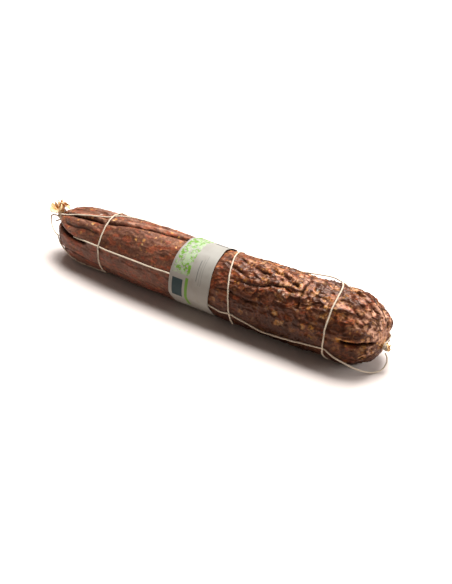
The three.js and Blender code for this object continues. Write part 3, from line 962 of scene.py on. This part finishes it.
points = plain + outward * height[:, None]
plain_body = add_object("plain_body", closed_rows("plain_body", points, len(rows), ROUND))
for name, values in {
    "folded": folded * fades,
    "fatty": np.clip(smooth(grid_x, -60, 120) + 0.35 * bell(grid_x + 180, 22), 0, 1),
    "free": tips * (1 - 0.85 * under_band) * (1 - 0.7 * mouth),
    # Painted light: paler on top, and at the stub end.
    "upper": turned_up * smooth(grid_x, 240, 60) + bell(grid_x - 181, 12),
    # Painted shade on the lower front and underside of the right half.
    "shade": 0.9 * bell(turn_from(-35, grid_angle), 56) * bell(grid_x - 75, 95),
    # Chalky bloom, with painted light on the stub end and on top of the right half.
    "chalk_and_painted_light": np.clip(chalk_and_painted_light_cap + bell(grid_x - 120, 80) * facing_up * 0.6, 0, 1),
    "bare": 1 - smooth(from_tip, -1.2, 0.6),
    "mould": mould,
}.items():
    carry(plain_body.data, name, values)
body = run_tree(skin, plain_body, "sausage", Material=casing)
print("body:", len(body.data.polygons), "faces")

# %% [markdown]
# ## Where the twine runs
#
# Twine is described the way it is tied: strands that run lengthwise from tie to tie, and hoops
# that go round the sausage and hold the strands down. A strand is a list of places [x, angle,
# lift], where lift is how far it hangs off the skin. The front strand starts in a fold and ends
# where the last hoop catches it. A hoop leans: it is further along at one angle than opposite.

# %% Strands and hoops
TWINE_RADIUS = 0.75
SUNK = 0.12

STRANDS = {
    "strand_top": [
        (-180.5, 62, 0.2), (-178, 64, 0), (-168, 64.5, 0), (-154, 66, 0), (-144, 67, 0), (-128, 72, 0),
        (-115, 81, 0), (-112.5, 88, 0), (-108, 98, 0), (-100, 107, 0), (-92, 124, 0), (-70, 138, 0),
        (-60, 141, 0), (60, 141, 0), (84, 138, 0), (100, 124, 0),
        (108, 117, 1.4), (116, 117, 2.6), (124, 119, 1.6), (130, 121, 0), (136, 120, 0),
        (142, 112, -1.0), (151, 102, -1.8), (158, 97, -1.8), (165, 93, -2.2), (171, 93, -2.6),
        (176, 96, -2.6), (181, 92, -1.4),
    ],
    "strand_front": [
        (-180.5, 34, 0.2), (-179, 33, -1), (-176, 32, -5), (-160, 25, -5), (-150, 20, -4),
        (-144, 20, 0), (-126, 20.5, 0), (-109, 20, 0), (-98, 18.5, 0), (-40, 17.5, 0), (-22, 19, 0),
        (22, -11.5, 0), (36, -17, 0), (44, -13, 0), (48, -12.5, 0), (77, -32, 0), (96, -27, 0),
        (118, -19, 0), (139, -16.5, 0), (143.2, -17.2, 0.1),
    ],
    "strand_under": [
        (-168, 4, 0.9), (-163, -14, 0.2), (-157, -32, 0), (-152, -44, 0), (-144, -50, 0),
        (-128, -54, 0), (-113, -56, 0.1),
    ],
    "strand_back": [
        (-180.5, 160, 0.2), (-178, 162, 0), (-145, 178, 0), (-110, 190, 0), (110, 188, 0),
        (150, 190, 0), (176, 198, 0), (182, 198, 0.2),
    ],
}

# The strand under the sausage hangs free between the tie and the skin, through these points.
HANGING = [
    (-182.4, -4.6, 36.8), (-185.2, -7.6, 38.6), (-186.6, -10.2, 38.8), (-184.6, -13.6, 36.4),
    (-179.5, -17.8, 32.6), (-174.0, -20.8, 29.6), (-169.8, -22.3, 28.2), (-168.1, -22.4, 28.2),
]

# Each hoop: its middle, how far it leans, the angle where it is furthest along, and its pulls,
# angles where a strand has drawn it along the sausage.
HOOPS = {
    "hoop_left": dict(x=-112, lean=3.5, towards=10, pulls=[]),
    "hoop_middle": dict(x=33, lean=12, towards=-15, pulls=[]),
    "hoop_right": dict(x=135.5, lean=8, towards=30, pulls=[(-72, 9), (124, -5)]),
}
PULL_WIDTH = 20


def hoop_x(angle, x, lean, towards, pulls):
    """How far along the sausage a hoop is at an angle."""
    x = x + lean * np.cos(np.radians(angle - towards))
    for at, pull in pulls:
        x = x + pull * bell(turn_from(at, angle), PULL_WIDTH)
    return x


def evenly(places, step):
    """Places [x, angle, lift] turned into many, step mm apart on the plain surface, and rounded."""
    places = np.array(places, float)
    marks = np.linspace(0, len(places) - 1, 8000)
    dense = np.stack([np.interp(marks, range(len(places)), column) for column in places.T])
    passed = lengths_to(polar(dense[0], dense[1], base_radius(dense[0])))
    even = np.linspace(0, passed[-1], int(passed[-1] / step))
    rows = np.stack([np.interp(even, passed, column) for column in dense])
    padded = np.pad(rows, ((0, 0), (2, 2)), mode="reflect", reflect_type="odd")
    return sum(padded[:, k:k + rows.shape[1]] for k in range(5)) / 5


def unit(rows):
    """Each row as a direction, one long."""
    return rows / np.linalg.norm(rows, axis=1, keepdims=True)


def plain_outward(x, angle):
    """The directions straight out of the plain surface and round it."""
    radius = base_radius(x)
    before, after = (polar(x + step, angle, base_radius(x + step)) for step in (-0.1, 0.1))
    across = polar(x, angle + 1, radius) - polar(x, angle - 1, radius)
    out = np.cross(across, after - before)
    out *= np.sign(np.einsum("ij,ij->i", out, polar(x, angle, radius) - polar(x, angle, 0)))[:, None]
    return unit(out), unit(across)


# %% Room for the twine and the band under the body
ROOM_FOR_BAND = 0.3
ROOM_FOR_HOOP = 1.7
SOFTNESS = 0.6


def settle(points):
    """Presses points flat where they would sink into the surface below, leaving room for twine."""
    room = ROOM_FOR_BAND * smooth(np.abs(points[:, 0]), BAND_EDGE + 1.5, BAND_EDGE + 0.5)
    for hoop in HOOPS.values():
        off = np.abs(points[:, 0] - hoop_x(-90.0, **hoop))
        room = np.maximum(room, ROOM_FOR_HOOP * smooth(off, 3.6, 1.4))
    pressed = room + SOFTNESS * np.exp((points[:, 2] - room) / SOFTNESS - 1)
    points[:, 2] = np.where(points[:, 2] < room + SOFTNESS, pressed, points[:, 2])
    return points


points = settle(read_points(body.data))
write_points(body.data, points)
print(f"lowest point {points[:, 2].min():.2f} mm")

# %% [markdown]
# ## Laying twine on the skin
#
# Taut twine bridges the hollows and touches the high places. To find how it lies, each point of
# it may slide only straight out of the plain surface. It starts on the skin, which rays cast
# inwards find, and is pulled again and again towards the middle of its two neighbours, but never
# back into the skin. After some hundred pulls it is as straight as the skin allows.

# %% Skin height and pulling taut
REACH = 14.0
PULLS = 500
CROSSING_RISE = 1.4
CROSSING_WIDTH = 1.5
skin_lookup = BVHTree.FromObject(body, bpy.context.evaluated_depsgraph_get())


def skin_height(base, out, across):
    """How far the skin stands above each base point, over the width of the twine."""
    heights = np.full(len(base), -REACH)
    for offset in (-0.6, 0.0, 0.6):
        starts = base + across * offset + out * REACH
        for i, (start, direction) in enumerate(zip(starts, out)):
            hit = skin_lookup.ray_cast(Vector(start) * MM, Vector(-direction), 2 * REACH * MM)
            if hit[0] is not None:
                heights[i] = max(heights[i], REACH - hit[3] / MM)
    return heights


def pull_taut(base, out, least, held, closed):
    """Twine pulled straight, where it isn't held: each point only slides out from its base."""
    height = least.copy()
    for _ in range(PULLS):
        line = base + out * height[:, None]
        middle = (np.roll(line, 1, axis=0) + np.roll(line, -1, axis=0)) / 2
        pulled = np.einsum("ij,ij->i", middle - base, out)
        if not closed:
            pulled[[0, -1]] = least[[0, -1]]
        height = np.where(held, least, np.maximum(least, pulled))
    return base + out * height[:, None]


def lay(x, angle, lift, closed=False, over=None):
    """A line of twine laid at places on the skin, and over another line if that is given."""
    base = polar(x, angle, base_radius(x))
    out, across = plain_outward(x, angle)
    held = lift < -0.01
    least = skin_height(base, out, across) + TWINE_RADIUS - SUNK + lift
    if over is not None:
        starts = base + out * least[:, None]
        near = np.array([np.linalg.norm(over - start, axis=1).min() for start in starts])
        least = least + CROSSING_RISE * bell(near, CROSSING_WIDTH)
    line = pull_taut(base, out, least, held, closed)
    line[:, 2] = np.maximum(line[:, 2], TWINE_RADIUS + 0.08)
    return line


# %% Lay the strands, then the hoops over them
LAY_STEP = 1.2
# A hoop starts at its knot, at this angle.
KNOT_ANGLE = 158

lines = {name: lay(*evenly(places, LAY_STEP)) for name, places in STRANDS.items()}
lines["strand_under"] = np.vstack([rounded(HANGING, LAY_STEP)[:-1], lines["strand_under"]])
strands = np.vstack(list(lines.values()))
for name, hoop in HOOPS.items():
    angle = np.arange(KNOT_ANGLE, KNOT_ANGLE + 360, 2.0)
    lines[name] = lay(hoop_x(angle, **hoop), angle, 0 * angle, closed=True, over=strands)
for name, line in lines.items():
    print(name, len(line), "points")

# %% [markdown]
# ## Knots, ties and the loose end
#
# Each hoop is closed at the back by a small knot: the twine turns twice round itself and its two
# ends stick out. At each end of the sausage a few tight turns close the casing round its neck.
# The front strand runs on past the last hoop as a slack end, down to the surface and up to the
# tie, so its shape is simply drawn.

# %% Knots
KNOT_TURNS = 2.25
KNOT_RADIUS = 1.25
KNOT_LENGTH = 3.2
TAIL = 4.5


def knot_line(line, at):
    """Turns round a line of twine at one of its points, with a tail at each end."""
    here = line[at % len(line)]
    along = line[(at + 2) % len(line)] - line[(at - 2) % len(line)]
    along /= np.linalg.norm(along)
    out = here - centre_point(here[0])
    out -= along * (out @ along)
    out /= np.linalg.norm(out)
    side = np.cross(along, out)
    turn = np.linspace(0, 1, int(KNOT_TURNS * 14))
    angle = math.tau * KNOT_TURNS * turn + 0.4
    ring = np.cos(angle)[:, None] * out + np.sin(angle)[:, None] * side
    coil = here + out * 0.5 + along * (turn[:, None] - 0.5) * KNOT_LENGTH + ring * KNOT_RADIUS
    away = np.linspace(0.15, 1, 5) * TAIL
    first = coil[0] + np.outer(away[::-1], side * 0.8 - along * 0.5 + out * 0.25)
    last = coil[-1] + np.outer(away, along * 0.7 - side * 0.5 + out * 0.35)
    return np.vstack([first, coil, last])


for name in HOOPS:
    lines[name.replace("hoop", "knot")] = knot_line(lines[name], 0)

# %% Ties round the necks
TIE_PITCH = 1.35
TIE_ROOM = TWINE_RADIUS + 0.2
TIE_START = 200
TIE_SAG = 1.2


def tie_line(start, towards, turns, tails):
    """Turns round a neck, the last of them over the first, and a loose tail at each end."""
    turn = np.linspace(0, turns, int(turns * 24))
    second_layer = smooth(turn, 2.1, 2.5)
    x = start + towards * TIE_PITCH * (turn - 1.9 * smooth(turn, 2.0, 3.2))
    neck = (NECK_LEFT if towards < 0 else NECK_RIGHT) + TIE_ROOM
    coil = polar(x, TIE_START + 360 * turn, neck + 0.15 * np.sin(turn * 9) + 1.1 * second_layer)
    first, last = (np.array(tail) for tail in tails)
    away = np.linspace(0.12, 1, 6)[:, None]
    sag = np.array([0, 0, -TIE_SAG]) * away**2
    return np.vstack([(coil[0] + first * away + sag)[::-1], coil, coil[-1] + last * away + sag])


lines["tie_left"] = tie_line(LEFT - 1.0, -1, 3.2, [(-5.5, -4.5, -1.5), (-4.0, -6.0, 0.5)])
lines["tie_right"] = tie_line(RIGHT + 1.6, 1, 1.6, [(1.0, 3.0, -1.0), (2.0, -1.5, -3.5)])

# %% [markdown]
# ## Laid twine
#
# Butcher's twine is laid: plies turned round each other. The tree takes a bare line and resamples
# it, copies it once for each ply, pushes each copy out by a vector that turns with the length,
# and skins the copies with a small circle. The lay is the length of one full turn.

# %% The twine tree
LAY = 5.0
PLY_SIDES = 7

laid, given = new_tree("laid_twine", {
    "Plies": 3,
    "Twine radius": TWINE_RADIUS,
    "Lay": LAY,
    "Step": 0.6,
    "Material": None,
})
line = laid.node("GeometryNodeMeshToCurve", None, {"Mesh": given["Geometry"]})
values = {"Curve": line, "Length": given["Step"] * MM}
line = laid.node("GeometryNodeResampleCurve", {"mode": "LENGTH"}, values)
line = laid.store(line, "along_twine", laid.node("GeometryNodeSplineParameter", None, None, "Length"))
values = {"Geometry": line, "Amount": given["Plies"]}
copies = laid.node("GeometryNodeDuplicateElements", {"domain": "SPLINE"}, values)
ply = copies.other("Duplicate Index")
turned = (laid.carried("along_twine") / (given["Lay"] * MM) + ply / given["Plies"]) * math.tau
curve_normal = laid.node("GeometryNodeInputNormal")
tangent = laid.node("GeometryNodeInputTangent")
binormal = laid.vector("CROSS_PRODUCT", tangent, curve_normal)
out_by = given["Twine radius"] * (0.5 * MM)
offset = laid.vector(
    "ADD",
    laid.scaled(curve_normal, laid.math("COSINE", turned) * out_by),
    laid.scaled(binormal, laid.math("SINE", turned) * out_by),
)
values = {"Resolution": PLY_SIDES, "Radius": out_by}
circle = laid.node("GeometryNodeCurvePrimitiveCircle", {"mode": "RADIUS"}, values)
factor = laid.node("GeometryNodeSplineParameter", None, None, "Factor")
circle = laid.store(circle, "around_ply", factor)
values = {"Curve": laid.shift(copies, offset), "Profile Curve": circle, "Fill Caps": True}
tube = laid.node("GeometryNodeCurveToMesh", None, values)
close_tree(laid, tube, given["Material"])
print("twine tree:", len(laid.nodes.nodes), "nodes")


# %% Every piece of twine
def make_twine(name, line, closed=False):
    """Laid twine along a line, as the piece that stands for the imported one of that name."""
    last = len(line) - 1
    edges = [(i, i + 1) for i in range(last)] + ([(last, 0)] if closed else [])
    source = add_object(name + "_line", new_mesh(name, line, edges, []))
    made = run_tree(laid, source, name + "_twine", Material=twine_finish)
    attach(made, "root")
    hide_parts(name)
    return made


faces = 0
for name, line in lines.items():
    made = make_twine(name, line, closed=name in HOOPS)
    faces += len(made.data.polygons)
print("twine:", len(lines), "pieces,", faces, "faces")

# %% The slack end
slack = make_twine("strand_slack_end", SLACK_LINE)

# %% [markdown]
# ## The skin gives way
#
# Twine that is pulled tight sinks into the skin. Every point of the skin near a line of twine is
# pressed in along its normal, most right under the twine.

# %% Press the skin in under the twine
DENT_DEPTH = 0.55
DENT_WIDTH = 2.2
CLEAR_OF_FLOOR = 0.02

tied = np.vstack([line for name, line in lines.items() if name in STRANDS or name in HOOPS])
tree_of_points = KDTree(len(tied))
for i, point in enumerate(tied):
    tree_of_points.insert(point, i)
tree_of_points.balance()
points = read_points(body.data)
normals = np.empty(len(points) * 3, np.float32)
body.data.vertices.foreach_get("normal", normals)
near = np.array([tree_of_points.find(point)[2] for point in points])
points -= normals.reshape(-1, 3) * (DENT_DEPTH * bell(near, DENT_WIDTH))[:, None]
points[:, 2] = np.maximum(points[:, 2], CLEAR_OF_FLOOR)
write_points(body.data, points)
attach(body, "root")
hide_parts("sausage_body")
print("pressed in", int((near < DENT_WIDTH).sum()), "points of the skin")

# %% [markdown]
# ## The paper band
#
# Paper bends one way only, so the band is a strip round the convex outline of what is under it:
# the body and the strands. It overlaps itself at the back, where it is glued, and its end is cut
# a little askew, so one edge slants.

# %% The outline under the band
BAND_LEFT = -21.5
# The slanting right edge, as its x at some angles.
BAND_RIGHT = [
    (-90, 22.5), (-10, 22.7), (20, 23.3), (43, 21.5), (61, 20.3),
    (83, 18.7), (124, 14.6), (180, 12.5), (235, 17), (270, 22.5),
]
UNDER_BAND = 24
SEAM_ANGLE = 205
OVERLAP = 12.0
PAPER_THICKNESS = 0.14


def convex(points):
    """The convex outline of points [y, z], as the corners in order."""
    ordered = sorted(map(tuple, points))

    def chain(some):
        corners = []
        for p in some:
            while len(corners) > 1:
                (ay, az), (by, bz) = corners[-2:]
                if (by - ay) * (p[1] - az) - (bz - az) * (p[0] - ay) > 1e-9:
                    break
                corners.pop()
            corners.append(p)
        return corners[:-1]

    return np.array(chain(ordered) + chain(reversed(ordered)))


def even_ring(corners, step):
    """A closed outline resampled evenly and rounded a little."""
    ring = np.vstack([corners, corners[:1]])
    passed = lengths_to(ring)
    even = np.arange(0, passed[-1], passed[-1] / round(passed[-1] / step))
    ring = np.stack([np.interp(even, passed, column) for column in ring.T], axis=1)
    for _ in range(6):
        ring = (np.roll(ring, 1, axis=0) + 2 * ring + np.roll(ring, -1, axis=0)) / 4
    return ring


under = [points[np.abs(points[:, 0]) < UNDER_BAND][:, 1:]]
for name in STRANDS:
    line = lines[name][np.abs(lines[name][:, 0]) < UNDER_BAND + 1]
    for turn in np.radians(range(0, 360, 30)):
        under.append(line[:, 1:] + TWINE_RADIUS * np.array([math.cos(turn), math.sin(turn)]))
ring = even_ring(convex(np.vstack(under)), 0.9)
axis = centre_point(0.0)


def angle_of(ring):
    """The angle at which each point of an outline lies."""
    return np.degrees(np.arctan2(ring[:, 1] - axis[2], axis[1] - ring[:, 0]))


ring_angle = angle_of(ring)
start = int(np.argmin(np.abs(turn_from(SEAM_ANGLE, ring_angle))))
if turn_from(ring_angle[start], ring_angle[(start + 3) % len(ring)]) < 0:
    ring, start = ring[::-1], len(ring) - 1 - start
ring = np.roll(ring, -start, axis=0)
girth_of_band = lengths_to(np.vstack([ring, ring[:1]]))[-1]
print(f"outline under the band: {girth_of_band:.0f} mm round")

# %% The band's sheet
ACROSS = 46
LOOSENESS = 0.2
EDGE_LIFT = 0.35
LIFT_SPACING = 9.0
BAND_WIDTH = 44

spacing = girth_of_band / len(ring)
count = len(ring) + int(OVERLAP / spacing)
order = np.arange(count) % len(ring)
edge_ahead = np.roll(ring, -1, axis=0) - np.roll(ring, 1, axis=0)
ring_out = np.stack([edge_ahead[:, 1], -edge_ahead[:, 0]], axis=1)
ring_out /= np.linalg.norm(ring_out, axis=1, keepdims=True)
ring_out *= np.sign(((ring - axis[1:]) * ring_out).sum(1).mean())
passed = np.arange(count) * spacing
angle = (angle_of(ring[order]) + 90) % 360 - 90
right_edge = np.interp(angle, *zip(*BAND_RIGHT))
share = np.linspace(0, 1, ACROSS)
band_x = BAND_LEFT + (right_edge[:, None] - BAND_LEFT) * share
lifted = LOOSENESS + 2 * PAPER_THICKNESS * smooth(passed, girth_of_band - 1.0, girth_of_band + 2.0)
# Here and there the edges stand up a little, more where the band is clear of the floor.
rng = np.random.default_rng(11)
marks = np.arange(0, passed[-1] + 20, LIFT_SPACING)
edge_lift = np.interp(passed, marks, rng.random(int((passed[-1] + 20) / LIFT_SPACING) + 1))
edge_lift *= EDGE_LIFT * smooth(ring[order, 1], 1, 8)
near_edge = bell(share * (right_edge - BAND_LEFT)[:, None], 3.0) + bell((1 - share) * BAND_WIDTH, 3.0)
off = lifted[:, None] + edge_lift[:, None] * near_edge
band_y = ring[order, 0][:, None] + ring_out[order, 0][:, None] * off
band_z = ring[order, 1][:, None] + ring_out[order, 1][:, None] * off
band_z = np.maximum(band_z, CLEAR_OF_FLOOR + PAPER_THICKNESS / 2)
sheet = np.stack([band_x, band_y, band_z], axis=-1).reshape(-1, 3)
quads = [(a, d, c, b) for a, b, c, d in grid_quads(count, ACROSS, closed=False)]
mesh = new_mesh("band", sheet, [], quads)
uv = mesh.uv_layers.new(name="band")
flat_uv = np.stack([np.repeat((angle + 90) / 360, ACROSS), np.tile(share, count)], axis=1)
corners = np.empty(len(mesh.loops), np.int32)
mesh.loops.foreach_get("vertex_index", corners)
uv.data.foreach_set("uv", flat_uv[corners].astype(np.float32).ravel())
mesh.update()
print(f"band: {passed[-1]:.0f} mm long, {right_edge.max() - BAND_LEFT:.0f} mm wide at most")


# %% Give a sheet its thickness
def thicken(name, mesh, thickness, material):
    """A sheet made solid, as a plain mesh in an object of its own."""
    source = add_object(name + "_sheet", mesh)
    solid = source.modifiers.new("thickness", "SOLIDIFY")
    solid.thickness = thickness * MM
    solid.offset = 1.0
    made = baked(source, name)
    made.data.materials.clear()
    made.data.materials.append(material)
    made.data.shade_smooth()
    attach(made, "root")
    return made


if mesh.polygons[0].normal @ (mesh.polygons[0].center - Vector(axis) * MM) < 0:
    mesh.flip_normals()
band = thicken("band_of_paper", mesh, PAPER_THICKNESS, paper_finish)
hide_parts("paper_band")

# %% [markdown]
# ## The casing's ends
#
# Past each tie a bit of bare casing sticks out. At the left it is a crumpled frill, at the right
# a short stub. Both are a cone of thin skin that opens from the neck, ruffled more and more
# towards its rim, which is dry, thin and pale.

# %% Frill and stub
PAST_TIE = 3.4
RUFFLES = 3
HUSK_THICKNESS = 0.22


def ruffled(name, x, towards, tilt, length, radius, seed, rows=26, around=150):
    """A trumpet of thin skin that opens from the neck at x and is ruffled towards its rim."""
    phase = np.random.default_rng(seed).random(5) * math.tau
    j, i = np.meshgrid(np.linspace(0, 1, rows), np.arange(around) * math.tau / around, indexing="ij")
    wave = np.sin(RUFFLES * i + phase[0] + 1.2 * np.sin(2 * i + phase[1]))
    small_wave = np.sin((2 * RUFFLES + 1) * i + phase[2] + 2 * j)
    throat = 0.75 * (NECK_LEFT if towards < 0 else NECK_RIGHT)
    r = throat + (radius - throat) * j**1.1
    r = r * (1 + 0.28 * j * wave + 0.14 * j * small_wave + 0.2 * j * np.sin(i + phase[4]))
    along = length * (1 - (1 - j) ** 1.6) * (1 + 0.25 * j * np.sin(3 * i + phase[3]))
    along = along + 0.22 * length * j**2 * np.sin(RUFFLES * i + phase[0] + 1.5) - 0.35 * length * j**4
    tilt = math.radians(tilt)
    ahead = np.array([towards * math.cos(tilt), 0, math.sin(tilt)])
    up = np.array([-towards * math.sin(tilt), 0, math.cos(tilt)])
    front = np.array([0, -1, 0])
    points = centre_point(x) + along[..., None] * ahead
    points = points + (r * np.cos(i))[..., None] * front + (r * np.sin(i))[..., None] * up
    mesh = new_mesh(name, points.reshape(-1, 3), [], grid_quads(rows, around))
    carry(mesh, "rim", smooth(j, 0.55, 1.0).ravel())
    return mesh


crumpled, given = new_tree("crumpled", {"Crease size": 5.0, "Crease depth": 1.5, "Material": None})
position = crumpled.node("GeometryNodeInputPosition")
tumble = crumpled.noise(position, given["Crease size"], output="Color")
tumble = crumpled.vector("SUBTRACT", tumble, (0.5, 0.5, 0.5))
reach = (crumpled.carried("rim") * 0.7 + 0.3) * given["Crease depth"] * (2 * MM)
moved = crumpled.shift(given["Geometry"], crumpled.scaled(tumble, reach))
close_tree(crumpled, moved, given["Material"])

# Each skin of the frill is its tilt, its length, its radius at the rim, and its seed.
FRILL = [(62, 11.0, 8.5, 3), (74, 12.0, 6.0, 8), (55, 12.5, 4.0, 15)]
ENDS = {
    "casing_tuft": [
        dict(x=LEFT - PAST_TIE, towards=-1, tilt=tilt, length=length, radius=radius, seed=seed)
        for tilt, length, radius, seed in FRILL
    ],
    "casing_stub": [
        dict(x=RIGHT + PAST_TIE, towards=1, tilt=-8, length=3.6, radius=2.9, seed=5, rows=16, around=90),
    ],
}
for node, layers in ENDS.items():
    for k, layer in enumerate(layers):
        name = f"{node}_skin_{k}"
        source = add_object(name + "_flat", ruffled(name, **layer))
        creased = run_tree(crumpled, source, name + "_creased", Material=husk_finish)
        sheet_mesh = creased.data.copy()
        bpy.data.objects.remove(creased)
        made = thicken(name, sheet_mesh, HUSK_THICKNESS, husk_finish)
        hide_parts(node)
print("ends made")

# %% Finish
size = [[list(corner) for corner in cad_box], [list(corner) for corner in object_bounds()]]
